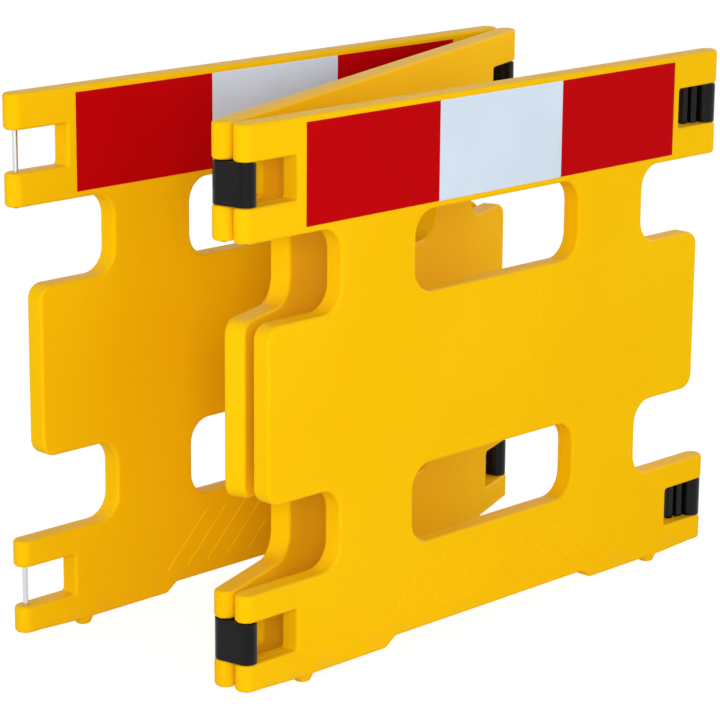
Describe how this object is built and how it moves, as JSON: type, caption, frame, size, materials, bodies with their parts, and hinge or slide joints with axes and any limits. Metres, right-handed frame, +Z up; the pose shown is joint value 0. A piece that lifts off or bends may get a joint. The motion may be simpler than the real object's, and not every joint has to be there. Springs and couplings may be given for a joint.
{
  "type": "folding barrier",
  "caption": "Folding street-works barrier: hollow yellow panels with red and white reflective film, joined by snap links on steel rods, standing in a loose Z.",
  "frame": {"origin": "on the ground under the middle of the whole barrier's box, as it stands in the picture's fold", "axes": "+X along the front and back panels, to the right seen from the film side; -Y towards the side that the front and back panels show their film to; +Z up"},
  "size_m": [1.335, 0.5342, 1],
  "materials": {
    "panel_yellow": "satin moulded polyethylene",
    "film_red": "smooth reflective film",
    "film_white": "smooth reflective film",
    "rod_steel": "bright zinc",
    "cap_black": "satin",
    "link_black": "satin"
  },
  "bodies": {
    "panel_b": {"shell_b": "panel_yellow", "film_red_left_b": "film_red", "film_white_b": "film_white", "film_red_right_b": "film_red", "rod_upper_left_b": "rod_steel", "rod_upper_right_b": "rod_steel", "rod_lower_left_b": "rod_steel", "rod_lower_right_b": "rod_steel", "cap_upper_left_b": "cap_black", "cap_upper_right_b": "cap_black", "cap_lower_left_b": "cap_black", "cap_lower_right_b": "cap_black"},
    "front_links": {"link_upper_b": "link_black", "link_lower_b": "link_black"},
    "panel_c": {"shell_c": "panel_yellow", "film_red_left_c": "film_red", "film_white_c": "film_white", "film_red_right_c": "film_red", "rod_upper_left_c": "rod_steel", "rod_upper_right_c": "rod_steel", "rod_lower_left_c": "rod_steel", "rod_lower_right_c": "rod_steel", "cap_upper_left_c": "cap_black", "cap_upper_right_c": "cap_black", "cap_lower_left_c": "cap_black", "cap_lower_right_c": "cap_black"},
    "back_links": {"link_upper_a": "link_black", "link_lower_a": "link_black"},
    "panel_a": {"shell_a": "panel_yellow", "film_red_left_a": "film_red", "film_white_a": "film_white", "film_red_right_a": "film_red", "rod_upper_left_a": "rod_steel", "rod_upper_right_a": "rod_steel", "rod_lower_left_a": "rod_steel", "rod_lower_right_a": "rod_steel", "cap_upper_left_a": "cap_black", "cap_upper_right_a": "cap_black", "cap_lower_left_a": "cap_black", "cap_lower_right_a": "cap_black"},
    "free_upper_link": {"link_upper_c": "link_black"},
    "free_lower_link": {"link_lower_c": "link_black"}
  },
  "joints": [
    {"name": "front_link_fold", "type": "hinge", "parent": "panel_b", "child": "front_links", "pos_m": [-0.56995, -0.20215, 0], "axis": [0, 0, -1], "range_deg": [-9.8, 110.2]},
    {"name": "panel_c_fold", "type": "hinge", "parent": "front_links", "child": "panel_c", "pos_m": [-0.56246, -0.24551, 0], "axis": [0, 0, -1], "range_deg": [-9.8, 110.2]},
    {"name": "back_link_fold", "type": "hinge", "parent": "panel_b", "child": "back_links", "pos_m": [0.56995, 0.20375, 0], "axis": [0, 0, -1], "range_deg": [-9.8, 80.2]},
    {"name": "panel_a_fold", "type": "hinge", "parent": "back_links", "child": "panel_a", "pos_m": [0.56246, 0.24711, 0], "axis": [0, 0, -1], "range_deg": [-9.8, 80.2]},
    {"name": "free_upper_link_swing", "type": "hinge", "parent": "panel_c", "child": "free_upper_link", "pos_m": [0.64754, -0.24551, 0], "axis": [0, 0, 1], "range_deg": [0, 191]},
    {"name": "free_lower_link_swing", "type": "hinge", "parent": "panel_c", "child": "free_lower_link", "pos_m": [0.64754, -0.24551, 0], "axis": [0, 0, 1], "range_deg": [0, 191]}
  ],
  "couplings": [
    {"joint": "panel_c_fold", "follows": "front_link_fold", "ratio": 1},
    {"joint": "panel_a_fold", "follows": "back_link_fold", "ratio": 1}
  ]
}
